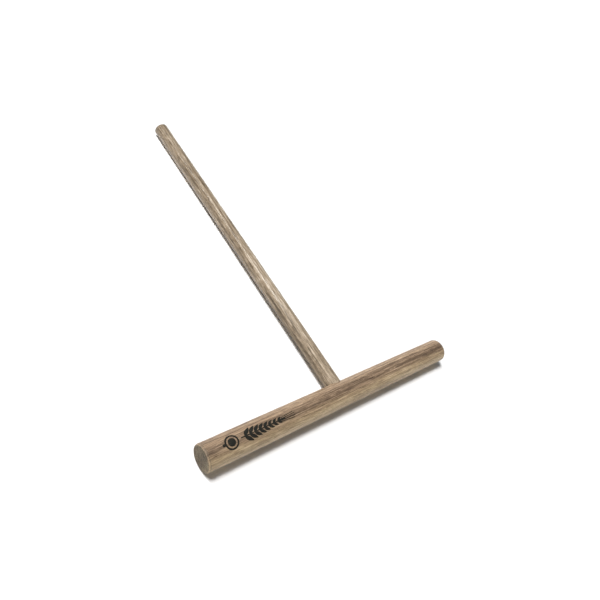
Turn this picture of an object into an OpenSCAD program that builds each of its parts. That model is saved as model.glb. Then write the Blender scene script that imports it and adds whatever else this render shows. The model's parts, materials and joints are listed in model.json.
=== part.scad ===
// Crepe spreader: a round wooden bar that spreads the batter, and a thinner round
// wooden handle glued into a blind socket at the middle of the bar.
// It lies flat on the table at z = 0, with the bar along X and the handle towards +Y.

/* [Bar] */
// Length of the bar
bar_length = 180; // [120:5:240]
// Diameter of the bar
bar_diameter = 14.5; // [13:0.5:20]
// Rounding of the edge at each end of the bar
bar_edge = 1; // [0.4:0.1:2]

/* [Handle] */
// Distance from the bar's axis to the free end of the handle
handle_reach = 234; // [150:1:300]
// Diameter of the handle
handle_diameter = 9.5; // [8:0.5:10.5]
// Rounding of the edge at the handle's free end
handle_edge = 0.7; // [0.3:0.1:1.5]

/* [Joint] */
// How far the handle's shoulder stands out past the socket's wall
shoulder_step = 0.25; // [0.2:0.05:0.5]
// Depth of the socket, from the bar's surface to its flat bottom
socket_depth = 10; // [7:0.5:10]
// Depth of the pit that the drill's centre point leaves in that bottom
pit_depth = 1.2; // [0.5:0.1:1.5]
// How much the tenon's radius is under the socket's radius
glue_gap = 0.1; // [0.05:0.05:0.3]
// Space between the tenon's end and the socket's bottom
end_gap = 0.4; // [0.2:0.1:1]
// Chamfer around the tenon's end
tenon_chamfer = 0.8; // [0.3:0.1:1.5]

/* [Hidden] */
$fn = 96;

bar_radius = bar_diameter / 2;
handle_radius = handle_diameter / 2;

// The handle is turned down to a tenon that ends at a flat shoulder, which meets the bar
// along the line of the bar's surface nearest to the handle.
socket_radius = handle_radius - shoulder_step;
socket_bottom = bar_radius - socket_depth;
tenon_radius = socket_radius - glue_gap;
tenon_start = socket_bottom + end_gap;
shoulder = bar_radius;

// The drill's centre point leaves a cone as wide as it is deep.
pit_radius = pit_depth / 2;

// The bar lies on the table along its length, and the handle tips down until its free end
// touches the table too, where its rounded edge begins.
straight_reach = handle_reach - handle_edge;
tip_down = asin(bar_radius / norm([straight_reach, handle_radius]))
    - atan(handle_radius / straight_reach);

// The farthest point of the tipped handle, measured along Y from the bar's axis.
handle_far = straight_reach * cos(tip_down)
    + (handle_radius - handle_edge) * sin(tip_down)
    + handle_edge;

// The origin is on the table, under the middle of the object's box.
bar_axis_y = -(handle_far - bar_radius) / 2;

// Past every surface that a cutting shape has to clear.
clear = 1;

// Moves a shape with the bar on the X axis and the handle along +Y to where it lies.
module lying() {
    translate([0, bar_axis_y, bar_radius])
        rotate([-tip_down, 0, 0])
            children();
}

// Turns a shape that stands along +Z so that it runs along +Y.
module along_handle() {
    rotate([-90, 0, 0])
        children();
}

// Half of a dowel's lengthwise section, with the edge at its far end rounded.
module dowel_section(radius, length, edge) {
    square([radius, length - edge]);
    square([radius - edge, length]);
    translate([radius - edge, length - edge])
        circle(edge);
}

// The bar before it is drilled.
module bar_blank() {
    rotate([0, 90, 0])
        rotate_extrude()
            for (end = [0, 1])
                mirror([0, end])
                    dowel_section(bar_radius, bar_length / 2, bar_edge);
}

// A round hole up to the given height, with a flat bottom and the drill point's pit in it.
module socket_space(top) {
    along_handle() {
        translate([0, 0, socket_bottom])
            cylinder(h = top - socket_bottom, r = socket_radius);
        translate([0, 0, socket_bottom - pit_depth])
            cylinder(h = pit_depth, r1 = 0, r2 = pit_radius);
    }
}

// The chamfered end of the handle, drawn on past the shoulder.
module tenon() {
    along_handle()
        translate([0, 0, tenon_start]) {
            cylinder(h = tenon_chamfer, r1 = tenon_radius - tenon_chamfer, r2 = tenon_radius);
            translate([0, 0, tenon_chamfer])
                cylinder(h = shoulder - tenon_start - tenon_chamfer + clear, r = tenon_radius);
        }
}

module spreader_bar() {
    color("#b08c68")
        lying()
            difference() {
                bar_blank();
                socket_space(shoulder + clear);
            }
}

module handle() {
    color("#96795c")
        lying() {
            tenon();
            along_handle()
                rotate_extrude()
                    difference() {
                        dowel_section(handle_radius, handle_reach, handle_edge);
                        square([handle_radius + clear, shoulder]);
                    }
        }
}

// The glue fills the socket around and below the tenon, and the space under the shoulder.
module glue_line() {
    color("#d9b36a")
        lying()
            difference() {
                socket_space(shoulder);
                tenon();
            }
}

spreader_bar();
handle();
glue_line();
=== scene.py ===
# The looks of a wooden crepe spreader: a bar and a handle made from two dowels, the glue bead
# between them, and a printed mark of a pan and an ear of wheat near one end of the bar.

import json
import math

import bpy
from mathutils import Matrix, Vector, noise


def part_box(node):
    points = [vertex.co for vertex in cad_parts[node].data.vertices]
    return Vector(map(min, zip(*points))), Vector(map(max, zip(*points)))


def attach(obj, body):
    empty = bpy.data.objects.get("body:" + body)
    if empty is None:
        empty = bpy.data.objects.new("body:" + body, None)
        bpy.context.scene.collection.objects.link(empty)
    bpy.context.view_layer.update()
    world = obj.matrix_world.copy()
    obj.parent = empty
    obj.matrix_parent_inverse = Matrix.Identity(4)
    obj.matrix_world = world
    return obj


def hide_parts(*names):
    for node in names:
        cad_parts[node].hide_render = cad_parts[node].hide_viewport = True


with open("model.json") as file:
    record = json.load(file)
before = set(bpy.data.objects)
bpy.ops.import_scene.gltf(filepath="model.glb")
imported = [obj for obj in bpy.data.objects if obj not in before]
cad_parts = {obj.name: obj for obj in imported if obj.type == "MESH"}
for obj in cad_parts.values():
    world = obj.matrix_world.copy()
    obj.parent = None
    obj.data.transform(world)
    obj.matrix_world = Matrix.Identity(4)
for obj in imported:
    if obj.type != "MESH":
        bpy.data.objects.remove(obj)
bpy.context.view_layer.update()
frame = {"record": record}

MM = 0.001


# ---------------------------------------------------------------- sizes and places

bar_low, bar_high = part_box("spreader_bar")
BAR_LENGTH = bar_high.x - bar_low.x
BAR_RADIUS = (bar_high.z - bar_low.z) / 2
BAR_MIDDLE = (bar_low + bar_high) / 2
BAR_EDGE = 1.0 * MM

handle_mount = frame["record"]["mounts"][0]
HANDLE_AXIS = Vector(handle_mount["axis"])
HANDLE_RADIUS = handle_mount["dims"]["r_mm"] * MM
HANDLE_STRAIGHT = handle_mount["dims"]["length_mm"] * MM
HANDLE_EDGE = 0.7 * MM

# The joint has the CAD model's sizes.
SOCKET_RADIUS = HANDLE_RADIUS - 0.25 * MM
SOCKET_DEPTH = 10 * MM
PIT_DEPTH = 1.2 * MM
PIT_RADIUS = PIT_DEPTH / 2
TENON_RADIUS = SOCKET_RADIUS - 0.1 * MM
TENON_CHAMFER = 0.8 * MM
END_GAP = 0.4 * MM

# Distances from the bar's axis, along the handle's axis.
SHOULDER = BAR_RADIUS
SOCKET_BOTTOM = SHOULDER - SOCKET_DEPTH
TENON_START = SOCKET_BOTTOM + END_GAP
STRAIGHT_END = SHOULDER + HANDLE_STRAIGHT
HANDLE_TIP = STRAIGHT_END + HANDLE_EDGE


def dowel_axes(along, out):
    """A dowel's own axes as columns: along, out and up. Angles about it turn from out to up."""
    return Matrix((along, out, along.cross(out))).transposed()


BAR_AXES = dowel_axes(Vector((1, 0, 0)), HANDLE_AXIS)
HANDLE_AXES = dowel_axes(HANDLE_AXIS, Vector((-1, 0, 0)))


def place(axes, along, radius, angle):
    """A point of a dowel, from its distance along the axis and its radius and angle about it."""
    local = Vector((along, radius * math.cos(angle), radius * math.sin(angle)))
    return BAR_MIDDLE + axes @ local


def in_socket(radius, way, height):
    """A point about the handle's axis. way turns from the bar's length up, and height is outwards."""
    local = Vector((radius * math.cos(way), height, radius * math.sin(way)))
    return BAR_MIDDLE + BAR_AXES @ local


def saddle(radius, rise):
    """How far the bar's surface is from its axis, along the handle, where the handle's side is.

    rise is the sine of the angle from the bar's length up to that part of the handle's side.
    """
    return math.sqrt(BAR_RADIUS**2 - (radius * rise) ** 2)


def once_round(count):
    """Equal steps once round a circle, as angles."""
    return [2 * math.pi * i / count for i in range(count)]


# Sanding leaves long shallow waves. The seeds make them differ between the two dowels.
WAVE_DEPTH = 0.05 * MM
WAVE_LENGTH = 22 * MM
WAVES_AROUND = 0.9
BAR_WAVE_SEED = 3.0
HANDLE_WAVE_SEED = 11.0


def worn(radius, along, angle, seed):
    """The sanded radius at one place, a little under the true one."""
    out = WAVES_AROUND * math.cos(angle)
    up = WAVES_AROUND * math.sin(angle) + seed
    wave = noise.noise(Vector((along / WAVE_LENGTH, out, up)))
    return radius - WAVE_DEPTH * (0.5 + 0.5 * wave)


def bar_side(along, angle, lift=0.0):
    """A point on the bar's sanded side, or lifted a little above it."""
    return place(BAR_AXES, along, worn(BAR_RADIUS, along, angle, BAR_WAVE_SEED) + lift, angle)


# ---------------------------------------------------------------- mesh tools

SHARP_ANGLE = math.radians(40)


class Shape:
    """Collects the vertices and faces of one mesh."""

    def __init__(self):
        self.points = []
        self.faces = []

    def loop(self, points):
        """Adds a ring of vertices and returns their numbers."""
        first = len(self.points)
        self.points += points
        return list(range(first, len(self.points)))

    def bridge(self, a, b):
        """Joins two closed rings of the same size."""
        for i in range(len(a)):
            j = (i + 1) % len(a)
            self.faces.append((a[i], a[j], b[j], b[i]))

    def close(self, ring, centre):
        """Fans a ring to one point."""
        middle = self.loop([centre])[0]
        for i in range(len(ring)):
            self.faces.append((ring[i], ring[(i + 1) % len(ring)], middle))

    def cap(self, ring, rows, centre):
        """Carries a ring on through rows of new points and closes it at a centre."""
        for points in rows:
            new = self.loop(points)
            self.bridge(ring, new)
            ring = new
        self.close(ring, centre)

    def make(self, name, axes=None):
        """Makes the object. A piece of wood gives its dowel's axes, for the wood's attributes."""
        mesh = bpy.data.meshes.new(name)
        mesh.from_pydata(self.points, [], self.faces)
        mesh.validate()
        mesh.shade_smooth()
        mesh.set_sharp_from_angle(angle=SHARP_ANGLE)
        piece = bpy.data.objects.new(name, mesh)
        bpy.context.scene.collection.objects.link(piece)
        if axes is not None:
            give_grain(mesh, axes)
        return piece


def give_grain(mesh, axes):
    """Writes two attributes: grain, the place in the dowel in millimetres, and cut, 1 on its ends."""
    inverse = axes.transposed()
    places = [inverse @ (v.co - BAR_MIDDLE) / MM for v in mesh.vertices]
    cuts = [(inverse @ v.normal).x ** 2 for v in mesh.vertices]
    mesh.attributes.new("grain", "FLOAT_VECTOR", "POINT")
    mesh.attributes["grain"].data.foreach_set("vector", [c for p in places for c in p])
    mesh.attributes.new("cut", "FLOAT", "POINT")
    mesh.attributes["cut"].data.foreach_set("value", cuts)


# A dowel's end: steps over its rounded edge, and where rings lie on its flat face.
EDGE_STEPS = 6
FACE_RINGS = (0.96, 0.85, 0.7, 0.5, 0.3, 0.12)


def arc(steps):
    """Sine and one minus cosine of equal steps over a quarter turn, without the start."""
    turns = [math.pi / 2 * (i + 1) / steps for i in range(steps)]
    return [(math.sin(t), 1 - math.cos(t)) for t in turns]


def end_rings(axes, end, sign, radius, edge, around, seed):
    """Rings over a rounded edge and in to the middle of an end face, from the side to the face."""
    angles = once_round(around)
    rings = []
    for out, down in arc(EDGE_STEPS):
        along = end - sign * edge * (1 - out)
        sides = [worn(radius, along, a, seed) - edge * down for a in angles]
        rings.append([place(axes, along, side, a) for side, a in zip(sides, angles)])
    for share in FACE_RINGS:
        rings.append([place(axes, end, (radius - edge) * share, a) for a in angles])
    return rings


# ---------------------------------------------------------------- the bar

# The bar's side is a grid with a square window around the socket, which rings of faces then fill.
# WINDOW is the number of cells from the window's middle to its border.
BAR_AROUND = 96
BAR_STEP = 0.5 * MM
WINDOW = 16
MOUTH_RINGS = 7
MOUTH_CROWDING = 0.8


def window_border():
    """Cells along the bar and around it, once round the window's border from one corner."""
    reach = range(-WINDOW, WINDOW)
    across = [(-WINDOW, j) for j in reach] + [(i, WINDOW) for i in reach]
    return across + [(WINDOW, -j) for j in reach] + [(-i, -WINDOW) for i in reach]


def mouth_point(way):
    """A point of the socket's mouth on the bar's unrolled side."""
    rise = SOCKET_RADIUS * math.sin(way) / BAR_RADIUS
    return Vector((SOCKET_RADIUS * math.cos(way), BAR_RADIUS * math.asin(rise)))


def add_socket(shape, rings, cell):
    """Fills the window from its border to the mouth, and goes on down the wall to the pit."""
    border = window_border()
    middle = len(rings) // 2
    turn = 2 * math.pi / BAR_AROUND
    flat = [Vector((i * cell, BAR_RADIUS * j * turn)) for i, j in border]
    ways = [math.atan2(v.y, v.x) for v in flat]
    rows = []
    for n in range(1, MOUTH_RINGS + 1):
        share = (n / MOUTH_RINGS) ** MOUTH_CROWDING
        spots = [v.lerp(mouth_point(w), share) for v, w in zip(flat, ways)]
        rows.append([bar_side(p.x, p.y / BAR_RADIUS) for p in spots])
    for radius in (SOCKET_RADIUS, PIT_RADIUS):
        rows.append([in_socket(radius, w, SOCKET_BOTTOM) for w in ways])
    outer = [rings[middle + i][j % BAR_AROUND] for i, j in border]
    shape.cap(outer, rows, in_socket(0, 0, SOCKET_BOTTOM - PIT_DEPTH))


def bar_mesh():
    """The bar, with rounded ends and a drilled blind socket."""
    shape = Shape()
    straight = BAR_LENGTH / 2 - BAR_EDGE
    cells = 2 * round(straight / BAR_STEP)
    middle = cells // 2
    alongs = [straight * (2 * i / cells - 1) for i in range(cells + 1)]
    rings = [shape.loop([bar_side(s, a) for a in once_round(BAR_AROUND)]) for s in alongs]
    for i in range(cells):
        for j in range(BAR_AROUND):
            beside = (j + WINDOW) % BAR_AROUND < 2 * WINDOW
            if beside and middle - WINDOW <= i < middle + WINDOW:
                continue
            k = (j + 1) % BAR_AROUND
            shape.faces.append((rings[i][j], rings[i][k], rings[i + 1][k], rings[i + 1][j]))
    for sign, ring in ((-1, rings[0]), (1, rings[-1])):
        end = sign * BAR_LENGTH / 2
        rows = end_rings(BAR_AXES, end, sign, BAR_RADIUS, BAR_EDGE, BAR_AROUND, BAR_WAVE_SEED)
        shape.cap(ring, rows, place(BAR_AXES, end, 0, 0))
    add_socket(shape, rings, alongs[1] - alongs[0])
    return shape.make("bar_dowel", BAR_AXES)


# ---------------------------------------------------------------- the handle

# Over its first rows the handle's side changes from the bar's curve to a flat ring.
HANDLE_AROUND = 72
HANDLE_STEP = 0.6 * MM
COPED_ROWS = 8
COPED_EDGE = 0.1 * MM
JOINT_GAP = 0.06 * MM


def handle_mesh():
    """The handle, from its tenon's chamfer to the rounded free end. Its side is coped to the bar."""
    shape = Shape()
    angles = once_round(HANDLE_AROUND)
    lows = [saddle(HANDLE_RADIUS, math.sin(a)) + JOINT_GAP for a in angles]

    def plain_ring(along, radius):
        return [place(HANDLE_AXES, along, radius, a) for a in angles]

    def coped_ring(radius):
        """A ring that follows the bar's surface."""
        return [place(HANDLE_AXES, low, radius, a) for low, a in zip(lows, angles)]

    def side_ring(share, along):
        """A ring of the sanded side. It follows the bar at share 0 and is flat at share 1."""
        points = []
        for low, a in zip(lows, angles):
            start = low + COPED_EDGE
            here = start + (along - start) * share
            side = worn(HANDLE_RADIUS, here, a, HANDLE_WAVE_SEED)
            points.append(place(HANDLE_AXES, here, side, a))
        return points

    rows = [
        plain_ring(TENON_START + TENON_CHAMFER, TENON_RADIUS),
        plain_ring(SOCKET_BOTTOM / 2, TENON_RADIUS),
        coped_ring(TENON_RADIUS),
        coped_ring(HANDLE_RADIUS - COPED_EDGE),
    ]
    steps = round((STRAIGHT_END - SHOULDER) / HANDLE_STEP)
    for i in range(steps + 1):
        along = SHOULDER + (STRAIGHT_END - SHOULDER) * i / steps
        rows.append(side_ring(min(i / COPED_ROWS, 1), along))
    rows += end_rings(
        HANDLE_AXES, HANDLE_TIP, 1, HANDLE_RADIUS, HANDLE_EDGE, HANDLE_AROUND, HANDLE_WAVE_SEED
    )
    first = shape.loop(plain_ring(TENON_START, TENON_RADIUS - TENON_CHAMFER))
    shape.cap(first, rows, place(HANDLE_AXES, HANDLE_TIP, 0, 0))
    shape.close(first[::-1], place(HANDLE_AXES, TENON_START, 0, 0))
    return shape.make("handle_dowel", HANDLE_AXES)


# ---------------------------------------------------------------- the glue

BEAD_AROUND = 120
BEAD_WIDTH = 0.16 * MM
BEAD_HEIGHT = 0.18 * MM
BEAD_TUCK = 0.03 * MM
BEAD_SHARES = (0.3, 0.55, 0.8)
BEAD_LUMPS = 2.2
BEAD_UNEVEN = 0.7
BEAD_SEED = 5.0


def swell(way):
    """How much glue came out on that side of the handle, as a share of the usual amount."""
    spot = Vector((BEAD_LUMPS * math.cos(way), BEAD_LUMPS * math.sin(way), BEAD_SEED))
    return 1 + BEAD_UNEVEN * noise.noise(spot)


def glue_mesh():
    """Cured glue: the bead round the handle, the sleeve in the socket and the pad under the tenon."""
    shape = Shape()
    ways = once_round(BEAD_AROUND)
    swells = [swell(w) for w in ways]
    feet = [HANDLE_RADIUS + BEAD_WIDTH * s for s in swells]

    def on_bar(radii, heights):
        """A row of points with their radii, and their heights above the bar's surface there."""
        points = []
        for radius, height, w in zip(radii, heights, ways):
            surface = saddle(radius, math.sin(w)) - WAVE_DEPTH / 2
            points.append(in_socket(radius, w, surface + height))
        return points

    def evenly(value):
        return [value] * BEAD_AROUND

    # The bead's hollow face, its top against the handle, and in under the handle to the tenon.
    rows = []
    for share in BEAD_SHARES:
        rise = 1 - math.sqrt(1 - share**2)
        radii = [foot + (HANDLE_RADIUS - foot) * share for foot in feet]
        rows.append(on_bar(radii, [BEAD_HEIGHT * s * rise for s in swells]))
    inside = evenly(HANDLE_RADIUS - 2 * BEAD_TUCK)
    rows.append(on_bar(inside, [BEAD_HEIGHT * s for s in swells]))
    rows.append(on_bar(inside, evenly(JOINT_GAP)))
    rows.append(on_bar(evenly(TENON_RADIUS), evenly(JOINT_GAP)))

    # Down the tenon, over its chamfer and across its end.
    rows.append([in_socket(TENON_RADIUS, w, TENON_START + TENON_CHAMFER) for w in ways])
    rows.append([in_socket(TENON_RADIUS - TENON_CHAMFER, w, TENON_START) for w in ways])
    foot_ring = shape.loop(on_bar(feet, evenly(-BEAD_TUCK)))
    shape.cap(foot_ring, rows, in_socket(0, 0, TENON_START))

    # The outside, which faces the other way: down the socket's wall, across its bottom to the pit.
    rows = [on_bar(evenly(SOCKET_RADIUS), evenly(-BEAD_TUCK))]
    for radius in (SOCKET_RADIUS, PIT_RADIUS):
        rows.append([in_socket(radius, w, SOCKET_BOTTOM) for w in ways])
    pit = in_socket(0, 0, SOCKET_BOTTOM - PIT_DEPTH)
    shape.cap(foot_ring[::-1], [row[::-1] for row in rows], pit)
    return shape.make("glue_bead")


# ---------------------------------------------------------------- the printed mark

# The mark is drawn in millimetres: x runs along the bar from its end at -X and y towards the handle.
# A stroke has a row of points every INK_GRID, and its pointed ends are INK_POINT wide.
MARK_ANGLE = math.radians(96)
INK_LIFT = 0.012 * MM
INK_THICKNESS = 0.02 * MM
INK_GRID = 0.35
INK_POINT = 0.02
LEAST_STEPS = 8
DISC_EXTRA_STEPS = 6

PAN_MIDDLE = 14.2
PAN_RADIUS = 3.3
PAN_RIM = 0.9
PAN_BASE = 2.1
PAN_GRIP_LENGTH = 1.9
PAN_GRIP_WIDTH = 1.4

# The ear's grains come in pairs. Each of their sizes goes from the first pair's to the last pair's.
EAR_START = 21.5
EAR_LENGTH = 22.0
EAR_END = EAR_START + EAR_LENGTH
EAR_PAIRS = 8
PAIR_PLACES = (EAR_START, EAR_END - 2)
GRAIN_LEANS = (math.radians(38), math.radians(26))
GRAIN_LENGTHS = (5.4, 2.9)
GRAIN_WIDTHS = (2.1, 1.2)
GRAIN_FOOT = 0.3
STALK_LENGTH = 2.4
STALK_WIDTH = 0.6

AWN_SPREADS = (-1.0, -0.4, 0.4, 1.0)
AWN_WIDTH = 0.34
MARK_END = 53.5


def between(pair, share):
    """Goes from the first value of a pair to the second."""
    return pair[0] + (pair[1] - pair[0]) * share


class Print(Shape):
    """A flat drawing made only of ribbons, which is then laid on the bar."""

    def ribbon(self, path, widths):
        """A strip along a path, as wide at each of its points as widths says."""
        count = max(2, math.ceil(max(widths) / INK_GRID))
        rows = []
        for i, here in enumerate(path):
            before, after = path[max(i - 1, 0)], path[min(i + 1, len(path) - 1)]
            tangent = (after - before).normalized()
            across = Vector((-tangent.y, tangent.x)) * widths[i]
            rows.append(self.loop([here + across * (j / count - 0.5) for j in range(count + 1)]))
        for a, b in zip(rows, rows[1:]):
            for j in range(count):
                self.faces.append((a[j], b[j], b[j + 1], a[j + 1]))

    def line(self, start, end, width):
        """A straight stroke with round ends."""
        start, end = Vector(start), Vector(end)
        length = (end - start).length
        steps = max(LEAST_STEPS, math.ceil(length / INK_GRID))
        path = [start.lerp(end, i / steps) for i in range(steps + 1)]
        inner = [min(i, steps - i) * length / steps for i in range(steps + 1)]
        half = width / 2
        squares = [max(half**2 - max(half - d, 0) ** 2, INK_POINT**2) for d in inner]
        self.ribbon(path, [2 * math.sqrt(square) for square in squares])

    def ring(self, centre, radius, width):
        """A circle line."""
        steps = math.ceil(2 * math.pi * radius / INK_GRID)
        turns = [2 * math.pi * i / steps for i in range(steps + 1)]
        path = [Vector(centre) + radius * Vector((math.cos(t), math.sin(t))) for t in turns]
        self.ribbon(path, [width] * len(path))

    def disc(self, centre, radius):
        """A filled circle."""
        steps = math.ceil(2 * radius / INK_GRID) + DISC_EXTRA_STEPS
        turns = [math.pi * i / steps for i in range(steps + 1)]
        path = [Vector(centre) + Vector((-radius * math.cos(t), 0)) for t in turns]
        self.ribbon(path, [max(2 * radius * math.sin(t), INK_POINT) for t in turns])

    def grain(self, foot, angle, length, width):
        """A wheat grain: pointed at its tip and rounder at its foot."""
        steps = max(LEAST_STEPS, math.ceil(length / INK_GRID))
        way = Vector((math.cos(angle), math.sin(angle)))
        shares = [i / steps for i in range(steps + 1)]
        path = [Vector(foot) + way * length * s for s in shares]
        self.ribbon(path, [max(width * math.sin(math.pi * s**0.75), INK_POINT) for s in shares])


def draw_pan(drawing):
    """A pan seen from above, with a short grip on the side of the bar's end."""
    centre = (PAN_MIDDLE, 0.0)
    rim = PAN_MIDDLE - PAN_RADIUS
    drawing.ring(centre, PAN_RADIUS, PAN_RIM)
    drawing.disc(centre, PAN_BASE)
    drawing.line((rim - PAN_GRIP_LENGTH, 0), (rim, 0), PAN_GRIP_WIDTH)


def draw_ear(drawing):
    """An ear of wheat: the stalk, the pairs of grains, the last grain and the awns."""
    drawing.line((EAR_START - STALK_LENGTH, 0), (EAR_END, 0), STALK_WIDTH)
    for i in range(EAR_PAIRS):
        share = i / (EAR_PAIRS - 1)
        x = between(PAIR_PLACES, share)
        lean = between(GRAIN_LEANS, share)
        length = between(GRAIN_LENGTHS, share)
        width = between(GRAIN_WIDTHS, share)
        for side in (-1, 1):
            drawing.grain((x, side * GRAIN_FOOT), side * lean, length, width)
    drawing.grain((EAR_END - 0.4, 0), 0, 3.4, 1.3)
    for spread in AWN_SPREADS:
        foot = (EAR_END - 1.0, spread * 0.8)
        tip = (MARK_END - 1.6 * abs(spread), spread * 1.6)
        drawing.line(foot, tip, AWN_WIDTH)


def mark_mesh():
    """The pan and the ear laid along the bar, as a film of ink."""
    drawing = Print()
    draw_pan(drawing)
    draw_ear(drawing)
    shape = Shape()
    shape.faces = drawing.faces
    for p in drawing.points:
        angle = MARK_ANGLE - p.y * MM / BAR_RADIUS
        shape.points.append(bar_side(p.x * MM - BAR_LENGTH / 2, angle, INK_LIFT))
    mark = shape.make("printed_mark", BAR_AXES)
    film = mark.modifiers.new("film", "SOLIDIFY")
    film.thickness = INK_THICKNESS
    film.offset = -1
    return mark


# ---------------------------------------------------------------- material tools

class Nodes:
    """Short calls that add shader nodes to one material."""

    def __init__(self, name):
        self.material = bpy.data.materials.new(name)
        self.material.use_nodes = True
        self.tree = self.material.node_tree
        self.shader = self.tree.nodes["Principled BSDF"]

    def put(self, socket, value):
        """Links a socket to another node's output, or sets its value."""
        if isinstance(value, bpy.types.NodeSocket):
            self.tree.links.new(value, socket)
        elif value is not None:
            socket.default_value = value

    def read(self, name, output):
        """An attribute of the mesh."""
        node = self.tree.nodes.new("ShaderNodeAttribute")
        node.attribute_name = name
        return node.outputs[output]

    def position(self):
        """The place in the object, in metres."""
        return self.tree.nodes.new("ShaderNodeTexCoord").outputs["Object"]

    def math(self, operation, a, b=None, clamp=False):
        node = self.tree.nodes.new("ShaderNodeMath")
        node.operation = operation
        node.use_clamp = clamp
        self.put(node.inputs[0], a)
        self.put(node.inputs[1], b)
        return node.outputs[0]

    def times(self, a, b):
        return self.math("MULTIPLY", a, b)

    def centred(self, value):
        """A noise from 0 to 1, moved to lie about 0."""
        return self.math("SUBTRACT", value, 0.5)

    def sum(self, start, parts):
        """A start value plus each part times its weight."""
        total = start
        for part, weight in parts:
            total = self.math("ADD", total, self.times(part, weight))
        return total

    def vector(self, operation, a, b=None):
        node = self.tree.nodes.new("ShaderNodeVectorMath")
        node.operation = operation
        self.put(node.inputs[0], a)
        self.put(node.inputs[1], b)
        return node.outputs["Value" if operation == "LENGTH" else "Vector"]

    def scaled(self, at, factors):
        """A place with each of its three parts multiplied by its own factor."""
        return self.vector("MULTIPLY", at, factors)

    def split(self, at):
        """The three parts of a place."""
        node = self.tree.nodes.new("ShaderNodeSeparateXYZ")
        self.put(node.inputs[0], at)
        return node.outputs

    def noise(self, at, detail=2.0, roughness=0.5, output="Fac"):
        node = self.tree.nodes.new("ShaderNodeTexNoise")
        self.put(node.inputs["Vector"], at)
        node.inputs["Scale"].default_value = 1.0
        node.inputs["Detail"].default_value = detail
        node.inputs["Roughness"].default_value = roughness
        return node.outputs[output]

    def step(self, value, low, high, start=0.0, end=1.0):
        """Goes smoothly from start to end while value goes from low to high."""
        node = self.tree.nodes.new("ShaderNodeMapRange")
        node.interpolation_type = "SMOOTHSTEP"
        self.put(node.inputs["Value"], value)
        self.put(node.inputs["From Min"], low)
        self.put(node.inputs["From Max"], high)
        self.put(node.inputs["To Min"], start)
        self.put(node.inputs["To Max"], end)
        return node.outputs[0]

    def mix(self, share, a, b, blend="MIX"):
        """Goes from colour a to colour b."""
        node = self.tree.nodes.new("ShaderNodeMix")
        node.data_type = "RGBA"
        node.blend_type = blend
        self.put(node.inputs[0], share)
        self.put(node.inputs[6], a)
        self.put(node.inputs[7], b)
        return node.outputs[2]

    def tinted(self, color, tint):
        return self.mix(1.0, color, tint, "MULTIPLY")

    def ramp(self, value, stops):
        """Goes through colours: stops are pairs of a place from 0 to 1 and the colour there."""
        node = self.tree.nodes.new("ShaderNodeValToRGB")
        self.put(node.inputs[0], value)
        bar = node.color_ramp.elements
        for i, (at, color) in enumerate(stops):
            stop = bar[i] if i < 2 else bar.new(at)
            stop.position = at
            stop.color = color
        return node.outputs[0]

    def bump(self, height, depth, under=None):
        """A normal from a height of 0 to 1 times a depth, on top of another normal if there is one."""
        node = self.tree.nodes.new("ShaderNodeBump")
        node.inputs["Distance"].default_value = depth
        self.put(node.inputs["Height"], height)
        self.put(node.inputs["Normal"], under)
        return node.outputs[0]

    def finish(self, color, roughness, normal):
        """Feeds the shader and returns the material."""
        self.put(self.shader.inputs["Base Color"], color)
        self.put(self.shader.inputs["Roughness"], roughness)
        self.put(self.shader.inputs["Normal"], normal)
        return self.material


def srgb(red, green, blue):
    """A colour given in the 0 to 255 steps of a screen, as the linear values that shaders use."""
    shares = [c / 255 for c in (red, green, blue)]
    linear = [s / 12.92 if s <= 0.04045 else ((s + 0.055) / 1.055) ** 2.4 for s in shares]
    return (*linear, 1.0)


# ---------------------------------------------------------------- wood

# Where a dowel's five colours lie from dark to light, and the tone that it has on average.
TONE_PLACES = (0.0, 0.3, 0.55, 0.8, 1.0)
MIDDLE_TONE = 0.66
# The grey tint of the cut ends, partly end grain and partly painted shade.
END_TINT = srgb(238, 247, 247)
OIL_TINT = (1.0, 0.94, 0.85, 1.0)

# Over FADE millimetres the wood goes from handled to untouched, which is UNTOUCHED rougher.
FADE = 50.0
UNTOUCHED = 0.4

# How deep the fine grain would be on wood of roughness 1. Smoother wood has a shallower grain.
RELIEF = 0.1 * MM


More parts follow.
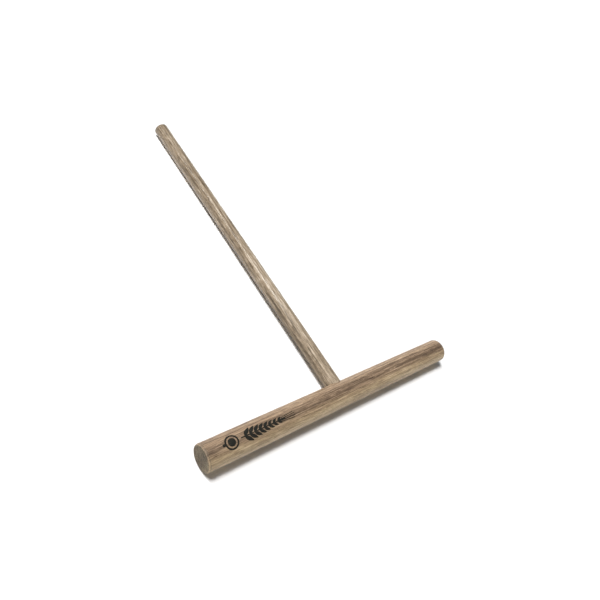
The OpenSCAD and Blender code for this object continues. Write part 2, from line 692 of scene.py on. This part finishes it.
class Wood(Nodes):
    """Dowel wood, built as a solid so that side and end grain agree. Lengths are in millimetres."""

    def __init__(self, name, seed):
        super().__init__(name)
        self.grain = self.read("grain", "Vector")
        self.cut = self.read("cut", "Fac")
        self.along, self.out = self.split(self.grain)[:2]
        self.here = self.vector("ADD", self.grain, (seed, seed * 0.7, seed * 0.3))

        # The fibres wander a little across the dowel as they run along it.
        drift = self.noise(self.scaled(self.here, (0.02, 0.12, 0.12)), output="Color")
        drift = self.vector("SUBTRACT", drift, (0.5, 0.5, 0.5))
        self.wander = self.scaled(drift, (0, 5.0, 5.0))

    def lines(self, length, width, detail=2.0, roughness=0.5):
        """Noise drawn out along the grain. length and width are its turns per millimetre."""
        return self.noise(self.scaled(self.here, (length, width, width)), detail, roughness)

    def late_wood(self, pith, ring_width):
        """Growth rings: each one darkens slowly and ends at a thin line."""
        bent = self.vector("ADD", self.grain, self.wander)
        from_pith = self.scaled(self.vector("SUBTRACT", bent, (0, *pith)), (0, 1, 1))
        rings = self.math("DIVIDE", self.vector("LENGTH", from_pith), ring_width)
        year = self.math("FRACT", rings)
        return self.times(self.step(year, 0.3, 0.93), self.step(year, 0.94, 1.0, 1.0, 0.0))

    def dark_layer_and_shade(self, middle, half_width):
        """A layer through the dowel, square to its out axis, with ragged flames on both borders. It
        places the dark band, which is partly darker wood and partly painted shade.
        """
        bent = self.vector("ADD", self.grain, self.scaled(self.wander, (0, 0.2, 0.2)))
        side = self.split(bent)[1]
        flames = self.sum(self.lines(0.025, 0.4), [(self.lines(0.06, 1.7, 3.0, 0.65), 2.0)])
        flames = self.times(self.math("SUBTRACT", flames, 1.5), 2.4)
        off = self.math("ADD", self.math("SUBTRACT", side, middle), flames)
        off = self.math("ABSOLUTE", off)
        return self.step(off, half_width * 0.45, half_width * 1.35, 1.0, 0.0)

    def vessels(self):
        """Short dark pores, with long patches where there are fewer."""
        pores = self.step(self.lines(0.3, 4.2, 1.0, 0.4), 0.6, 0.68)
        patches = self.step(self.lines(0.05, 0.6), 0.36, 0.6, 0.3, 1.0)
        return self.times(pores, patches)

    def untouched(self, start, end):
        """0 between two places along the dowel, and up to 1 beyond them."""
        before = self.step(self.along, start - FADE, start, 1.0, 0.0)
        after = self.step(self.along, end, end + FADE)
        return self.math("ADD", before, after)


def wood(name, *, tones, rosy, golden, seed, pith, ring_width, dark_band_and_shade, soaked,
         roughness, polished, contrast, uneven):
    """One dowel's wood.

    tones are its five colours from dark to light. rosy and golden tint its two sides, and the golden
    side's tone is also lifted as painted light. pith is where the rings' centre lies, from the dowel's
    axis, and ring_width is one year's growth. The dark band is a darker band through the dowel, partly
    darker wood and partly painted shade, given as its middle, its half width and its depth of tone.
    soaked is the dowel's darker end and where that stops. Hands keep the roughness as given between
    the two places in polished. contrast is the strength of the fine grain, and uneven is the depth of
    the shallow hollows that hand sanding leaves, in metres.
    """
    n = Wood(name, seed)
    stops = [(at, srgb(*tone)) for at, tone in zip(TONE_PLACES, tones)]
    dark_band_middle, dark_band_width, dark_band_depth = dark_band_and_shade
    stripe = n.lines(0.025, 1.15, 3.0, 0.65)
    fibre = n.lines(0.12, 2.4, 3.0, 0.75)
    mottle = n.lines(0.3, 1.0, 3.0, 0.7)
    fleck = n.step(n.lines(0.5, 2.1, 1.0, 0.4), 0.64, 0.74)
    vessel = n.vessels()
    # Which side is rosy and which is golden. The golden side is also painted lighter, as painted
    # light.
    side_tint_and_light = n.step(n.sum(n.out, [(n.centred(mottle), 8.0)]), -5.6, -0.8)

    # Everything that darkens or lightens the wood adds to one tone.
    tone = n.sum(MIDDLE_TONE, [
        (n.centred(n.lines(0.018, 0.13)), 0.5),
        (n.centred(stripe), 1.0 * contrast),
        (n.centred(fibre), 1.4 * contrast),
        (n.centred(mottle), 0.5 * contrast),
        # Painted light: the golden side's tone is lifted.
        (n.math("SUBTRACT", 1.0, side_tint_and_light), 0.23),
        (n.late_wood(pith, ring_width), -0.16),
        # The dark band: partly darker wood and partly painted shade.
        (n.dark_layer_and_shade(dark_band_middle, dark_band_width), -dark_band_depth),
        (n.step(n.along, *soaked, 1.0, 0.0), -0.13),
        (vessel, -0.3),
        (fleck, 0.16),
    ])
    color = n.tinted(n.ramp(tone, stops), n.mix(side_tint_and_light, srgb(*golden), srgb(*rosy)))

    # Cut ends drink the oil: greyer, darker and rougher, with fine saw lines. Their greyer, darker
    # tone is partly painted shade.
    saw = n.noise(n.scaled(n.here, (0.5, 0.7, 2.2)), 4.0, 0.75)
    end = n.step(n.cut, 0.45, 0.95)
    end_grain_and_shade_tone = n.sum(0.05, [(tone, 0.5), (n.centred(saw), 1.2)])
    color = n.mix(end, color, n.tinted(n.ramp(end_grain_and_shade_tone, stops), END_TINT))

    # The rims of the ends are worn paler.
    palest = stops[-1][1]
    rim = n.times(n.step(n.cut, 0.12, 0.4), n.step(n.cut, 0.5, 0.9, 1.0, 0.0))
    color = n.mix(n.times(n.times(rim, mottle), 0.3), color, palest)

    rough = n.sum(roughness, [
        (n.untouched(*polished), UNTOUCHED),
        (n.centred(fibre), 0.35),
        (vessel, 0.2),
    ])
    rough = n.math("ADD", rough, n.times(end, 0.25), clamp=True)
    relief = n.sum(n.times(fibre, 0.8), [(stripe, 0.8), (vessel, -1.0), (n.times(saw, end), 0.8)])
    hollows = n.bump(n.lines(0.05, 0.33, 1.0, 0.5), uneven)
    n.shader.inputs["Specular Tint"].default_value = OIL_TINT
    return n.finish(color, rough, n.bump(relief, RELIEF * roughness, hollows))


def bar_wood():
    """A warm brown dowel with a broad dark layer near its middle, partly darker wood and partly
    painted shade on its top, a little dull all along.
    """
    return wood(
        "bar_wood",
        tones=((58, 47, 38), (107, 91, 73), (145, 126, 102), (180, 160, 132), (209, 190, 163)),
        rosy=(255, 247, 247),
        golden=(255, 250, 237),
        seed=37.0,
        pith=(34.0, -22.0),
        ring_width=2.3,
        # The dark band along the bar's top: partly darker wood and partly painted shade.
        dark_band_and_shade=(-0.8, 3.1, 0.22),
        soaked=(-90.0, -79.0),
        roughness=0.5,
        polished=(-90.0, 90.0),
        contrast=0.95,
        uneven=0.1 * MM,
    )


def handle_wood():
    """A greyer dowel with painted shade down one side, that hands have polished over its outer part.
    """
    return wood(
        "handle_wood",
        tones=((65, 57, 44), (107, 96, 77), (145, 132, 109), (177, 166, 144), (213, 204, 184)),
        rosy=(255, 247, 248),
        golden=(254, 251, 240),
        seed=83.0,
        pith=(-20.0, 30.0),
        ring_width=2.9,
        # The dark band is painted shade down the handle's -X side.
        dark_band_and_shade=(4.8, 1.8, 0.16),
        soaked=(236.0, 222.0),
        roughness=0.26,
        polished=(85.0, 240.0),
        contrast=1.08,
        uneven=0.12 * MM,
    )


# ---------------------------------------------------------------- glue and ink

def glue():
    """Dried wood glue: amber, a little cloudy."""
    n = Nodes("dried_glue")
    cloud = n.noise(n.scaled(n.position(), (900, 900, 900)), 3.0, 0.6)
    color = n.mix(n.step(cloud, 0.35, 0.65), srgb(96, 72, 48), srgb(128, 98, 66))
    n.shader.inputs["Subsurface Weight"].default_value = 0.15
    n.shader.inputs["Subsurface Radius"].default_value = (0.0008, 0.0005, 0.0003)
    return n.finish(color, n.step(cloud, 0.3, 0.7, 0.3, 0.45), n.bump(cloud, 0.05 * MM))


def ink():
    """Black screen ink, thin where the wood's pores drank it."""
    n = Nodes("mark_ink")
    pores = n.noise(n.scaled(n.read("grain", "Vector"), (0.5, 8.0, 8.0)), 2.0, 0.6)
    color = n.mix(n.step(pores, 0.56, 0.72), srgb(20, 22, 16), srgb(80, 70, 56))
    n.shader.inputs["Specular IOR Level"].default_value = 0.3
    return n.finish(color, n.step(pores, 0.35, 0.7, 0.7, 0.85), n.bump(pores, 0.02 * MM))


# ---------------------------------------------------------------- the pieces

bar = bar_mesh()
bar.data.materials.append(bar_wood())
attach(bar, "root")
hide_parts("spreader_bar")

handle = handle_mesh()
handle.data.materials.append(handle_wood())
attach(handle, "root")
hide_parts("handle")

bead = glue_mesh()
bead.data.materials.append(glue())
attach(bead, "root")
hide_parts("glue_line")

mark = mark_mesh()
mark.data.materials.append(ink())
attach(mark, "root")


# ---------------------------------------------------------------- floor, light and camera

WHITE = (1, 1, 1, 1)
FLOOR_COLOR = (0.93, 0.93, 0.93, 1)
FLOOR_SIZE = 12.0

# The floor's glow near the object and far away, and the distances between which it changes.
FLOOR_GLOW = (0.0, 1.0)
FLOOR_GLOW_REACH = (0.35, 1.6)

# The light of the studio's walls and ceiling, and the heights between which it changes. A height
# is the sine of the angle above the floor.
STUDIO_LIGHT = (0.85, 0.05)
STUDIO_HEIGHTS = (0.08, 0.4)

LIGHT_DISTANCE = 5
AIM_OFFSET = Vector((0.0155, 0.0652, 0))


def floor():
    """A plain white studio floor. It glows far away, so that it stays white there."""
    half = FLOOR_SIZE / 2
    mesh = bpy.data.meshes.new("floor")
    corners = [(-half, -half, 0), (half, -half, 0), (half, half, 0), (-half, half, 0)]
    mesh.from_pydata(corners, [], [(0, 1, 2, 3)])
    plane = bpy.data.objects.new("floor", mesh)
    bpy.context.scene.collection.objects.link(plane)
    n = Nodes("floor_white")
    n.shader.inputs["Base Color"].default_value = FLOOR_COLOR
    n.shader.inputs["Roughness"].default_value = 0.9
    n.shader.inputs["Emission Color"].default_value = WHITE
    away = n.vector("LENGTH", n.position())
    n.put(n.shader.inputs["Emission Strength"], n.step(away, *FLOOR_GLOW_REACH, *FLOOR_GLOW))
    mesh.materials.append(n.material)


def studio_walls():
    """The light from all round: white walls and a dim ceiling. The camera sees plain white."""
    world = bpy.data.worlds.new("studio")
    world.use_nodes = True
    nodes, links = world.node_tree.nodes, world.node_tree.links
    around = nodes.new("ShaderNodeTexCoord")
    height = nodes.new("ShaderNodeSeparateXYZ")
    fade = nodes.new("ShaderNodeMapRange")
    ray = nodes.new("ShaderNodeLightPath")
    brighter = nodes.new("ShaderNodeMath")
    background = nodes["Background"]
    fade.inputs["From Min"].default_value, fade.inputs["From Max"].default_value = STUDIO_HEIGHTS
    fade.inputs["To Min"].default_value, fade.inputs["To Max"].default_value = STUDIO_LIGHT
    brighter.operation = "MAXIMUM"
    background.inputs["Color"].default_value = WHITE
    links.new(around.outputs["Generated"], height.inputs[0])
    links.new(height.outputs["Z"], fade.inputs["Value"])
    links.new(fade.outputs[0], brighter.inputs[0])
    links.new(ray.outputs["Is Camera Ray"], brighter.inputs[1])
    links.new(brighter.outputs[0], background.inputs["Strength"])
    bpy.context.scene.world = world


def softbox(name, heading, elevation, size, power):
    """A rectangular soft light that faces the origin. heading turns from +X towards +Y, in degrees."""
    data = bpy.data.lights.new(name, "AREA")
    data.shape = "RECTANGLE"
    data.size, data.size_y = size
    data.energy = power
    lamp = bpy.data.objects.new(name, data)
    bpy.context.scene.collection.objects.link(lamp)
    h, e = math.radians(heading), math.radians(elevation)
    toward = Vector((math.cos(h) * math.cos(e), math.sin(h) * math.cos(e), math.sin(e)))
    lamp.location = toward * LIGHT_DISTANCE
    lamp.rotation_euler = toward.to_track_quat("Z", "Y").to_euler()


def camera(heading, elevation, roll, distance, aim, lens):
    """A camera that looks at aim. heading is the compass way it looks, from +Y towards +X."""
    h, e, r = math.radians(heading), math.radians(elevation), math.radians(roll)
    look = Vector((math.sin(h) * math.cos(e), math.cos(h) * math.cos(e), -math.sin(e)))
    data = bpy.data.cameras.new("camera")
    data.lens = lens
    data.sensor_width = 36.0
    data.clip_start = 0.01
    body = bpy.data.objects.new("camera", data)
    bpy.context.scene.collection.objects.link(body)
    turned = look.to_track_quat("-Z", "Y").to_matrix() @ Matrix.Rotation(r, 3, "Z")
    body.matrix_world = Matrix.Translation(aim - look * distance) @ turned.to_4x4()
    bpy.context.scene.camera = body


floor()
studio_walls()
softbox("key", heading=138, elevation=67, size=(1.4, 1.1), power=275)
softbox("strip", heading=113, elevation=53, size=(0.3, 2.4), power=48)
softbox("fill", heading=-95, elevation=40, size=(4.0, 1.5), power=5)
bpy.context.scene.view_settings.view_transform = "Standard"

aim_point = BAR_MIDDLE + AIM_OFFSET
camera(heading=58.97, elevation=44.11, roll=32.9, distance=0.3354, aim=aim_point, lens=32.12)
